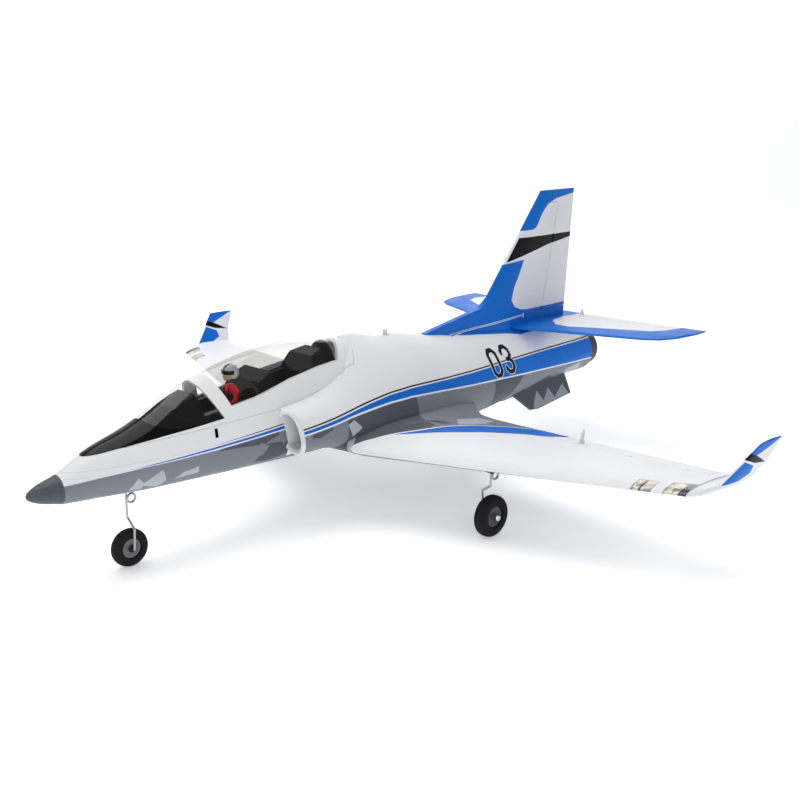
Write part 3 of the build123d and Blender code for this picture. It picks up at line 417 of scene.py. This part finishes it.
def wing_paint():
    """White panel; camouflaged root fillet edged by a curved white, blue and black stripe."""
    paint = Paint("wing_livery")
    y, out = paint.y, paint.side
    inner = [
        (-130, 82), (-109, 89), (-100, 94), (-66, 105), (-23, 119), (25, 129), (68, 146), (101, 174),
        (124, 199), (140, 222),
    ]
    outer = [
        (-130, 82), (-66, 105.2), (-32, 128), (1, 150), (46, 184), (85, 223), (99, 247), (122, 262),
        (140, 268),
    ]
    inboard = paint.outside(paint.above(inner, y, out))
    paint.add(inboard, MID_GREY)
    camo(paint, [
        (DARK_GREY, [(60, -130), (130, -130), (130, -8), (118, 20), (60, 24)]),
        (DARK_GREY, [(96, 22), (120, 34), (124, 50), (104, 42)]),
        (LIGHT_GREY, [(112, 70), (132, 52), (150, 92), (138, 122), (118, 112)]),
        (LIGHT_GREY, [(96, -118), (84, -96), (80, -106), (88, -122)]),
    ], out, y, inboard)
    edge = raised(inner, 3.8)
    stripe = paint.between(inner, outer, y, out)
    paint.add(paint.all_of(stripe, paint.above(edge, y, out)), BLUE)
    rim = [(u, v - 3.2 * min(1, max(0, (u + 40) / 80))) for u, v in outer]
    paint.add(paint.all_of(paint.between(rim, outer, y, out), stripe), BLACK)
    height = paint.math("MULTIPLY_ADD", out, -DIHEDRAL, paint.z)
    under = paint.step(paint.math("SUBTRACT", 96.2, height), 0.8)
    painted = paint.all_of(under, paint.short_of(out, 441))
    paint.add(painted, MID_GREY)
    tip = paint.step(paint.math("SUBTRACT", 0.4, paint.math("ABSOLUTE", paint.math("SUBTRACT", out, 492))))
    tip = paint.all_of(tip, paint.past(y, 101))
    return paint.finish(bead=FOAM_BEADS, seams=tip)


def winglet_paint():
    """White cranked tip with blue and black flashes on its upright part."""
    paint = Paint("winglet_livery")
    y, z = paint.y, paint.z
    for colour, corners in (
        (BLUE, [(70, 121), (96, 147), (117, 138), (119, 127), (101, 121)]),
        (BLACK, [(95, 150), (103, 158), (144, 137), (116, 142)]),
        (BLUE, [(102, 157), (114, 168), (170, 169), (140, 160), (116, 152)]),
    ):
        upright = paint.past(paint.side, 523)
        paint.add(paint.all_of(paint.polygon(corners, y, z), upright), colour)
    return paint.finish(bead=FOAM_BEADS)


def tailplane_paint():
    """Blue root, leading edge and tip round a white panel."""
    paint = Paint("tailplane_livery", BLUE)
    panel = [
        (54, 367), (78, 368), (122, 393), (190, 432), (203, 458), (205, 520), (17, 520), (19, 432),
        (30, 390),
    ]
    paint.add(paint.polygon(panel, paint.side, paint.y), WHITE)
    return paint.finish(bead=FOAM_BEADS, shade=0.07)


def fin_paint():
    """White fin with a blue cap, a black band, a blue root and the pinstripe."""
    paint = Paint("fin_livery")
    y, z = paint.y, paint.z
    top = [
        (300, 347.3), (362, 347.8), (368, 349.5), (373, 353), (386, 373), (400, 386), (421, 394),
        (472, 400.5), (480, 401),
    ]
    paint.add(paint.above(top, y, z), BLUE)
    lead = paint.step(paint.math("SUBTRACT", paint.line((242.5, 234), (389, 413), y, z), -3.5))
    lead = paint.outside(lead)
    band_low = [(270, 294), (403, 321), (464, 328), (490, 330)]
    band = paint.between(band_low, [(270, 337), (490, 336.3)], y, z)
    paint.add(paint.all_of(band, lead), BLACK)
    root_top = [(200, 290), (290, 297.5), (341, 302), (520, 302)]
    root_back = [
        (200, 600), (218.5, 600), (219.5, 353), (222, 334), (228, 319), (240, 311), (259, 317),
        (280, 330), (302, 341), (330, 352),
    ]
    root = paint.outside(paint.above(root_top, y, z))
    root = paint.all_of(root, paint.outside(paint.above(root_back, z, y)))
    paint.add(root, BLUE)
    add_pinstripe(paint)
    return paint.finish(bead=FOAM_BEADS, shade=0.06)


def strake_paint():
    """Dark plate with a light sawtooth along its lower edge."""
    paint = Paint("strake_livery", DARK_GREY)
    teeth = ((336, 368), (362, 398), (392, 436))
    for low, high in teeth:
        paint.add(paint.polygon([(low, 50), (low + 4, 68), (high - 14, 86), (high, 66), (high + 8, 50)],
                                paint.y, paint.z), (0.30, 0.325, 0.365))
    return paint.finish(bead=FOAM_BEADS)


def glass(name, tint):
    """Thin clear moulding: mostly see-through, with reflections that grow at grazing angles."""
    material = bpy.data.materials.new(name)
    material.use_nodes = True
    tree = material.node_tree
    tree.nodes.remove(tree.nodes["Principled BSDF"])
    clear = tree.nodes.new("ShaderNodeBsdfTransparent")
    clear.inputs["Color"].default_value = (*tint, 1)
    shine = tree.nodes.new("ShaderNodeBsdfGlossy")
    shine.inputs["Roughness"].default_value = 0.03
    facing = tree.nodes.new("ShaderNodeFresnel")
    facing.inputs["IOR"].default_value = 1.42
    outside = tree.nodes.new("ShaderNodeNewGeometry")
    front_only = tree.nodes.new("ShaderNodeMath")
    front_only.operation = "SUBTRACT"
    front_only.use_clamp = True
    wave = tree.nodes.new("ShaderNodeTexNoise")
    wave.inputs["Scale"].default_value = 14.0
    bump = tree.nodes.new("ShaderNodeBump")
    bump.inputs["Strength"].default_value = 0.05
    bump.inputs["Distance"].default_value = 0.001
    mix = tree.nodes.new("ShaderNodeMixShader")
    tree.links.new(wave.outputs["Fac"], bump.inputs["Height"])
    tree.links.new(bump.outputs[0], shine.inputs["Normal"])
    tree.links.new(facing.outputs[0], front_only.inputs[0])
    tree.links.new(outside.outputs["Backfacing"], front_only.inputs[1])
    tree.links.new(front_only.outputs[0], mix.inputs[0])
    tree.links.new(clear.outputs[0], mix.inputs[1])
    tree.links.new(shine.outputs[0], mix.inputs[2])
    tree.links.new(mix.outputs[0], tree.nodes["Material Output"].inputs["Surface"])
    return material


black_plastic = simple("black_plastic", (0.012, 0.012, 0.013), 0.38, spread=0.1)
gloss_black = simple("gloss_black", (0.003, 0.003, 0.0035), 0.11, grain=60, bump=0.04, spread=0.04)
white_nylon = simple("white_nylon", (0.78, 0.8, 0.83), 0.42)
steel_wire = simple("steel_wire", (0.42, 0.43, 0.45), 0.3, metallic=1.0, grain=1500)
foam_white = simple("foam_white", WHITE, 0.45, grain=700, bump=0.15)
tyre_rubber = simple("tyre_rubber", (0.014, 0.014, 0.015), 0.78, grain=2200, bump=0.5)
nose_grey = simple("nose_grey", (0.088, 0.104, 0.124), 0.28, grain=900, bump=0.3)
hub_grey = simple("hub_grey", (0.24, 0.24, 0.245), 0.45)
main_hub_grey = simple("main_hub_grey", (0.12, 0.12, 0.125), 0.45)

hull = fuselage_paint()
give(hull, "left_fuselage", "right_fuselage", "fan_hatch")
wing_skin = wing_paint()
give(wing_skin, "left_wing", "right_wing", "left_aileron", "right_aileron", "left_flap", "right_flap")
give(winglet_paint(), "winglets")
give(tailplane_paint(), "stabilizer", "left_elevator", "right_elevator")
give(fin_paint(), "fin", "rudder")
give(strake_paint(), "ventral_strakes")
give(Paint("canopy_foam").finish(bead=FOAM_BEADS, shade=0.03), "canopy_frame")
give(foam_white, *(name for name in nodes if "intake_duct" in name))
give(nose_grey, "nose_cone")
give(gloss_black, "glare_panel", "cockpit_tub")
give(black_plastic, "nozzle_ring", "thrust_tube", "fan_housing", "fan_rotor", "battery_tray",
     "speed_controller", "receiver", "aileron_servos", "gear_mounts", "wing_spar")
give(white_nylon, "control_hinges", "left_aileron_arm", "right_aileron_arm", "canopy_latch")
give(steel_wire, "main_struts", "nose_strut", "left_aileron_rod", "right_aileron_rod", "fan_motor")
give(simple("battery_wrap", (0.02, 0.12, 0.5), 0.35), "battery")
give(tyre_rubber, "nose_tyre", "left_tyre", "right_tyre")
give(hub_grey, "nose_hub")
give(main_hub_grey, "left_hub", "right_hub")
give(glass("windscreen_clear", (0.935, 0.935, 0.93)), "windscreen")
give(glass("canopy_clear", (0.935, 0.93, 0.92)), "canopy_glass")
give(glass("lens_clear", (0.96, 0.965, 0.97)), "light_lenses")


# ---- modelled pieces ----------------------------------------------------------------------
def new_piece(name, mesh, material, body, slot, *replaced, smooth=True):
    """Add a mesh that rides on a body, in place of the CAD nodes named in replaced."""
    piece = bpy.data.objects.new(name, mesh)
    bpy.context.scene.collection.objects.link(piece)
    piece.data.materials.append(material)
    for polygon in mesh.polygons:
        polygon.use_smooth = smooth
    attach(piece, body)
    if replaced:
        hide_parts(*replaced)
    return piece


def lathe(profile, centre, steps=72, axis="X"):
    """Closed surface of revolution round X or Z, from (along, radius) points in metres."""
    mesh = bpy.data.meshes.new("turned")
    shape = bmesh.new()
    rings = []
    for step in range(steps):
        angle = 2 * math.pi * step / steps
        ring = []
        for along, radius in profile:
            a, b = radius * math.cos(angle), radius * math.sin(angle)
            offset = (along, a, b) if axis == "X" else (a, b, along)
            ring.append(shape.verts.new(Vector(centre) + Vector(offset)))
        rings.append(ring)
    count = len(profile)
    for step in range(steps):
        ring, after = rings[step], rings[(step + 1) % steps]
        for index in range(count):
            nxt = (index + 1) % count
            shape.faces.new((ring[index], after[index], after[nxt], ring[nxt]))
    bmesh.ops.recalc_face_normals(shape, faces=shape.faces)
    shape.to_mesh(mesh)
    shape.free()
    return mesh


def box_of(name):
    """Low corner, high corner and middle of a CAD node."""
    low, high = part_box(name)
    low, high = Vector(low), Vector(high)
    return low, high, (low + high) / 2


def make_tyre(name, node, body):
    """Tyre with rounded shoulders and a bead that closes on the hub."""
    low, high, centre = box_of(node)
    radius = (high.z - low.z) / 2
    half = (high.x - low.x) / 2
    inner = radius * (0.505 if radius > 0.026 else 0.525)
    bead, steps = 0.0012, 28
    profile = [(half * 0.80, inner)]
    for step in range(steps + 1):
        angle = math.pi * step / steps
        across, rise = math.cos(angle), math.sin(angle)
        along = half * math.copysign(abs(across) ** 0.72, across)
        profile.append((along, inner + bead + (radius - inner - bead) * rise ** 0.62))
    profile.append((-half * 0.80, inner))
    new_piece(name, lathe(profile, centre), tyre_rubber, body, "tyre", node)


def make_hub(name, node, body, material, sunken):
    """Dished hub with a raised rim and a bearing boss."""
    low, high, centre = box_of(node)
    radius = (high.z - low.z) / 2
    half = (high.x - low.x) / 2
    bore = 0.0016
    face = [
        (half, bore), (half, 0.0036), (half * 0.86, 0.0044), (sunken, 0.0050), (sunken, radius * 0.62),
        (half * 0.62, radius * 0.76), (half * 0.70, radius * 0.80), (half * 0.70, radius * 0.93),
        (half * 0.60, radius),
    ]
    back = [(-along, out) for along, out in reversed(face)]
    new_piece(name, lathe(face + back, centre, 60), material, body, "hub", node, smooth=False)


def make_collar(name, centre, length, radius, material, body, slot, sides=6):
    """Small turned or hexagonal cap on an axle, with a chamfer at its +X end."""
    chamfer = radius * 0.25
    bore = 0.0004
    profile = [
        (0, bore), (0, radius), (length - chamfer, radius), (length, radius - chamfer), (length, bore),
    ]
    new_piece(name, lathe(profile, centre, sides), material, body, slot, smooth=False)


cap_metal = simple("cap_metal", (0.72, 0.73, 0.75), 0.25, metallic=1.0)
for side, sign in (("left", 1), ("right", -1)):
    make_tyre(f"{side}_wheel_tyre", f"{side}_tyre", f"{side}_wheel")
    make_hub(f"{side}_wheel_hub", f"{side}_hub", f"{side}_wheel", main_hub_grey, 0.004)
    low, high, centre = box_of(f"{side}_tyre")
    reach = (high.x - low.x) / 2 + 0.0003
    start = centre + Vector((sign * reach, 0, 0))
    if sign < 0:
        start -= Vector((CAP_LENGTH, 0, 0))
    make_collar(f"{side}_axle_cap", start, CAP_LENGTH, CAP_RADIUS, cap_metal, "airframe", "wire")
make_tyre("nose_wheel_tyre", "nose_tyre", "nose_wheel")
make_hub("nose_wheel_hub", "nose_hub", "nose_wheel", hub_grey, 0.003)
_, high, centre = box_of("nose_hub")
collar_at = Vector((high.x - 0.0012, centre.y, centre.z))
make_collar("nose_wheel_collar", collar_at, 0.0016, 0.0050, black_plastic, "nose_wheel", "hub", 24)


def sweep(path, radii, steps=20, flat=1.0):
    """Closed round tube through points in mm, with a radius at each and flat ends."""
    shape = bmesh.new()
    points = [Vector(p) * MM for p in path]
    rings = []
    for index, point in enumerate(points):
        before, after = points[max(index - 1, 0)], points[min(index + 1, len(points) - 1)]
        along = (after - before).normalized()
        side = along.cross(Vector((0, 0, 1)))
        side = side.normalized() if side.length > 1e-4 else Vector((1, 0, 0))
        up = side.cross(along).normalized()
        ring = []
        for step in range(steps):
            angle = 2 * math.pi * step / steps
            reach = side * math.cos(angle) + up * math.sin(angle) * flat
            ring.append(shape.verts.new(point + reach * radii[index] * MM))
        rings.append(ring)
    for ring, after in zip(rings, rings[1:]):
        for step in range(steps):
            nxt = (step + 1) % steps
            shape.faces.new((ring[step], ring[nxt], after[nxt], after[step]))
    shape.faces.new(rings[0])
    shape.faces.new(rings[-1])
    bmesh.ops.recalc_face_normals(shape, faces=shape.faces)
    return shape


def merge(name, shapes):
    """One mesh from several bmesh shapes, which it frees."""
    mesh = bpy.data.meshes.new(name)
    whole = bmesh.new()
    for shape in shapes:
        part = bpy.data.meshes.new("part")
        shape.to_mesh(part)
        shape.free()
        whole.from_mesh(part)
        bpy.data.meshes.remove(part)
    whole.to_mesh(mesh)
    whole.free()
    return mesh


def ball(centre, size, cut=None, steps=28, rings=18):
    """Closed ellipsoid in mm. cut, if given, moves each point of the unit ball first."""
    shape = bmesh.new()
    bmesh.ops.create_uvsphere(shape, u_segments=steps, v_segments=rings, radius=1.0)
    for vert in shape.verts:
        if cut:
            vert.co = cut(vert.co)
        vert.co = Vector((centre[k] + vert.co[k] * size[k] for k in range(3))) * MM
    return shape


def make_pilot():
    """Seated pilot of plain, generic looks: red suit, pale helmet with a dark band and visor."""
    low, high, centre = box_of("pilot_figure")
    cx, cy = centre.x / MM, centre.y / MM
    top, foot = high.z / MM, low.z / MM
    hx, hy, hz = cx, cy, top - HELMET_DROP
    torso = sweep(
        [(cx, cy + 1, foot + 0.3), (cx, cy + 1, foot + 3), (cx, cy, foot + 12), (cx, cy, foot + 24),
         (cx, cy, foot + 30), (cx, cy, foot + 34)],
        [9.0, 11.0, 11.2, 12.8, 11.0, 5.0], 28, 0.62,
    )
    arms = []
    for sign in (-1, 1):
        arms.append(sweep(
            [(cx + sign * 9.5, cy + 1, foot + 29), (cx + sign * 11.0, cy, foot + 25),
             (cx + sign * 11.6, cy - 1, foot + 16), (cx + sign * 10.4, cy - 4, foot + 11),
             (cx + sign * 6, cy - 6.4, foot + 9.5)],
            [3.0, 4.4, 3.8, 3.7, 2.6], 16,
        ))
    new_piece("pilot_suit", merge("suit", [torso] + arms), suit_red, "canopy", "red", "pilot_figure")
    gloves = [ball((cx + sign * 3.6, cy - 6.2, foot + 9.6), (3.2, 2.2, 2.4)) for sign in (-1, 1)]
    straps = []
    for sign in (-1, 1):
        straps.append(sweep(
            [(cx + sign * 5, cy - 6.6, foot + 31), (cx + sign * 4.6, cy - 8.0, foot + 24),
             (cx + sign * 3.6, cy - 7.6, foot + 14)], [0.9, 1.1, 0.9], 8,
        ))
    new_piece("pilot_gloves", merge("gloves", gloves + straps), black_plastic, "canopy", "gloss_black",
              "pilot_figure")

    def shell(co):
        """Open the helmet at the face by pushing the front lower part inwards."""
        if co.y < -0.35 and co.z < 0.28:
            co.y = -0.35 + (co.y + 0.35) * 0.30
        if co.z < -0.62:
            co.z = -0.62
        return co

    helmet = ball((hx, hy, hz), (11.2, 11.4, 11.4), shell, 40, 26)
    new_piece("pilot_helmet", merge("helmet", [helmet]), helmet_paint(hz), "canopy", "red", "pilot_figure")
    face = ball((hx, hy - 4.2, hz - 2.6), (6.6, 6.2, 7.4))
    nose = ball((hx, hy - 10.2, hz - 2.4), (1.2, 1.2, 1.9), None, 12, 8)
    chin = ball((hx, hy - 7.4, hz - 7.4), (3.4, 2.8, 2.2), None, 16, 10)
    ears = [ball((hx + sign * 6.2, hy - 4.0, hz - 4.4), (1.2, 2.2, 2.8), None, 12, 8) for sign in (-1, 1)]
    new_piece("pilot_face", merge("face", [face, nose, chin] + ears), skin, "canopy", "red", "pilot_figure")
    visor = lathe(
        [(-2.6 * MM, 10.4 * MM), (-2.2 * MM, 11.2 * MM), (2.0 * MM, 11.45 * MM), (2.6 * MM, 10.8 * MM)],
        (0, 0, 0), 64, "Z",
    )
    flat_back = -2.0 * MM
    for vert in visor.vertices:
        if vert.co.y > flat_back:
            vert.co.y = flat_back + (vert.co.y - flat_back) * 0.02
        vert.co += Vector((hx, hy, hz + 1.6)) * MM
    new_piece("pilot_visor", visor, gloss_black, "canopy", "gloss_black", "pilot_figure")


def helmet_paint(height):
    """Pale helmet with a black band over the crown; height is that of its middle in mm."""
    paint = Paint("helmet_paint", (0.42, 0.44, 0.47), 0.3)
    top = paint.step(paint.math("SUBTRACT", paint.z, height + 1.0))
    band = paint.short_of(paint.side, 2.4)
    paint.add(paint.outside(top), (0.62, 0.64, 0.67))
    paint.add(paint.all_of(band, top), BLACK)
    return paint.finish(0.08, (0.2, 0.35))


suit_red = simple("suit_red", (0.74, 0.02, 0.03), 0.42, grain=900.0, bump=0.3, spread=0.12)
skin = simple("skin_tone", (0.72, 0.42, 0.30), 0.5, grain=500.0)
make_pilot()


def make_servo_blisters():
    """Low moulded covers over the aileron servos on the undersides of the wings."""
    low, high, middle = box_of("aileron_servos")
    for side, sign in (("left", 1), ("right", -1)):
        centre = (sign * (high.x / MM - 8), middle.y / MM, low.z / MM + 1.2)
        shape = ball(centre, (10, 17, 2.2), None, 32, 14)
        new_piece(f"{side}_servo_blister", merge("blister", [shape]), black_plastic, "airframe",
                  "dark_plastic")


def make_lens_lights():
    """Small diode domes inside the clear lenses: white, and red to port or green to starboard."""
    root_x, root_lead, root_z, sweepback = 65, -117, 101, 0.331
    for side, sign, colour in (("left", 1, (0.75, 0.03, 0.02)), ("right", -1, (0.02, 0.5, 0.08))):
        groups = {"landing": [], "navigation": []}
        for x, group in ((442, "landing"), (450, "landing"), (474, "navigation"), (484, "landing"),
                         (493, "landing")):
            lead, middle = root_lead + sweepback * (x - root_x), root_z + (x - root_x) * DIHEDRAL
            spot = (sign * x, lead + 6.5, middle + 1.2)
            groups[group].append(ball(spot, (2.6, 2.6, 1.9), None, 16, 10))
        new_piece(f"{side}_landing_diodes", merge("landing", groups["landing"]), diode_warm, "airframe",
                  "clear")
        paint = simple(f"{side}_diode_colour", colour, 0.2, coat=0.5)
        new_piece(f"{side}_navigation_diode", merge("navigation", groups["navigation"]), paint,
                  "airframe", "clear")


def make_lamp_beds():
    """Mottled reflector beds: the lens solids shrunk a little inside the clear covers."""
    source = nodes["light_lenses"]
    shape = bmesh.new()
    shape.from_mesh(source.data)
    shape.transform(source.matrix_world)
    bmesh.ops.remove_doubles(shape, verts=shape.verts, dist=0.00002)
    shape.normal_update()
    for vert in shape.verts:
        vert.co -= vert.normal * 0.0009
    mesh = bpy.data.meshes.new("lamp_beds")
    shape.to_mesh(mesh)
    shape.free()
    paint = Paint("lamp_bed", (0.62, 0.61, 0.58), 0.25)
    spots = paint.step(paint.math("SUBTRACT", paint.noise(160.0), 0.53), 0.05)
    paint.add(spots, (0.86, 0.74, 0.48))
    dark = paint.step(paint.math("SUBTRACT", paint.noise(110.0, 1.0), 0.60), 0.04)
    paint.add(dark, (0.30, 0.27, 0.25))
    paint.add(paint.span(paint.x, 466, 477), (0.42, 0.10, 0.07))
    paint.add(paint.span(paint.x, -477, -466), (0.06, 0.30, 0.10))
    for low, high in ((430, 439), (452.5, 455), (496, 520)):
        paint.add(paint.span(paint.side, low, high), (0.05, 0.05, 0.055))
    new_piece("lamp_beds", mesh, paint.finish(0.1, (0.15, 0.3)), "airframe", "clear", smooth=False)


def make_rear_bulkhead():
    """Black panel closing the rear of the cockpit, fitted to the inside of the hatch."""
    points, faces = [], []
    for name in ("canopy_frame", "canopy_glass"):
        target = nodes[name]
        start = len(points)
        points.extend(target.matrix_world @ vert.co for vert in target.data.vertices)
        faces.extend([start + index for index in polygon.vertices] for polygon in target.data.polygons)
    walls = BVHTree.FromPolygons(points, faces)
    steps, middle = 64, 203 * MM
    sill, roof, missed = 17 * MM, 60 * MM, 12 * MM  # furthest reach down and up, and with no wall
    shape = bmesh.new()
    rings = []
    for y, inset in ((-86 * MM, 2.0 * MM), (-82 * MM, 1.2 * MM)):
        centre = Vector((0, y, middle))
        ring = []
        for step in range(steps):
            angle = 2 * math.pi * step / steps
            reach = Vector((math.cos(angle), 0, math.sin(angle)))
            hit = walls.ray_cast(centre, reach)
            limit = sill if math.sin(angle) < 0 else roof
            distance = min(hit[3] if hit[0] is not None else missed, limit)
            ring.append(shape.verts.new(centre + reach * (distance - inset)))
        rings.append(ring)
    for step in range(steps):
        nxt = (step + 1) % steps
        shape.faces.new((rings[0][step], rings[0][nxt], rings[1][nxt], rings[1][step]))
    shape.faces.new(rings[0])
    shape.faces.new(rings[1])
    bmesh.ops.recalc_face_normals(shape, faces=shape.faces)
    mesh = bpy.data.meshes.new("bulkhead")
    shape.to_mesh(mesh)
    shape.free()
    new_piece("rear_bulkhead", mesh, gloss_black, "canopy", "gloss_black", smooth=False)


diode_warm = simple("diode_warm", (0.85, 0.66, 0.25), 0.2, coat=0.5)
make_servo_blisters()
make_lens_lights()
make_lamp_beds()
make_rear_bulkhead()


# ---- camera, floor and light --------------------------------------------------------------
def add_stage():
    """White paper that runs under the model and curves up behind it, square to the camera."""
    mesh = bpy.data.meshes.new("floor")
    size, front, depth, height, bend = 11.0, -12.0, 2.6, 3.6, 0.9
    steps = 12
    rows = [(front, 0.0)]
    for step in range(steps + 1):
        angle = math.pi / 2 * step / steps
        rows.append((depth + bend * math.sin(angle), bend - bend * math.cos(angle)))
    rows.append((depth + bend, height))
    turn = math.radians(CAMERA_AZIMUTH)
    back = Vector((-math.sin(turn), math.cos(turn), 0))
    across = Vector((math.cos(turn), math.sin(turn), 0))
    points, faces = [], []
    for reach, rise in rows:
        for side in (-size, size):
            points.append(tuple(back * reach + across * side + Vector((0, 0, rise))))
    for index in range(len(rows) - 1):
        a = 2 * index
        faces.append((a, a + 1, a + 3, a + 2))
    mesh.from_pydata(points, [], faces)
    floor = bpy.data.objects.new("floor", mesh)
    bpy.context.scene.collection.objects.link(floor)
    paint = bpy.data.materials.new("floor_paper")
    paint.use_nodes = True
    shader = paint.node_tree.nodes["Principled BSDF"]
    shader.inputs["Base Color"].default_value = (0.93, 0.93, 0.94, 1)
    shader.inputs["Roughness"].default_value = 0.9
    shader.inputs["Emission Color"].default_value = (1, 1, 1, 1)
    shader.inputs["Emission Strength"].default_value = 0.36
    floor.data.materials.append(paint)


def add_light(name, place, target, size, power):
    """White rectangular lamp at a place, turned towards its target."""
    data = bpy.data.lights.new(name, "AREA")
    data.shape = "RECTANGLE"
    data.size, data.size_y = size
    data.energy = power
    lamp = bpy.data.objects.new(name, data)
    lamp.location = place
    lamp.rotation_euler = (Vector(target) - Vector(place)).to_track_quat("-Z", "Y").to_euler()
    bpy.context.scene.collection.objects.link(lamp)


add_stage()
add_light("key_top", (-0.5, -0.3, 2.6), (0, 0.1, 0.1), (2.2, 2.2), 47)
add_light("fill_front", (2.0, -1.6, 1.3), (0, 0, 0.15), (1.8, 1.4), 13)
add_light("fill_left", (-1.9, -1.5, 1.2), (0, 0, 0.15), (1.4, 1.4), 6)
add_light("rim_back", (-1.2, 2.0, 1.7), (0, 0.2, 0.2), (1.6, 1.0), 9)
world = bpy.data.worlds.new("studio")
world.use_nodes = True
world.node_tree.nodes["Background"].inputs["Color"].default_value = (0.98, 0.99, 1.0, 1)
world.node_tree.nodes["Background"].inputs["Strength"].default_value = 0.34
bpy.context.scene.world = world
bpy.context.scene.view_settings.view_transform = "Standard"

azimuth, elevation = math.radians(CAMERA_AZIMUTH), math.radians(CAMERA_ELEVATION)
direction = Vector((
    math.cos(elevation) * math.sin(azimuth),
    -math.cos(elevation) * math.cos(azimuth),
    math.sin(elevation),
))
camera_data = bpy.data.cameras.new("camera")
camera_data.sensor_width = CAMERA_SENSOR
camera_data.lens = CAMERA_LENS
camera = bpy.data.objects.new("camera", camera_data)
camera.location = CAMERA_TARGET + direction * CAMERA_DISTANCE
camera.rotation_euler = (-direction).to_track_quat("-Z", "Y").to_euler()
bpy.context.scene.collection.objects.link(camera)
bpy.context.scene.camera = camera
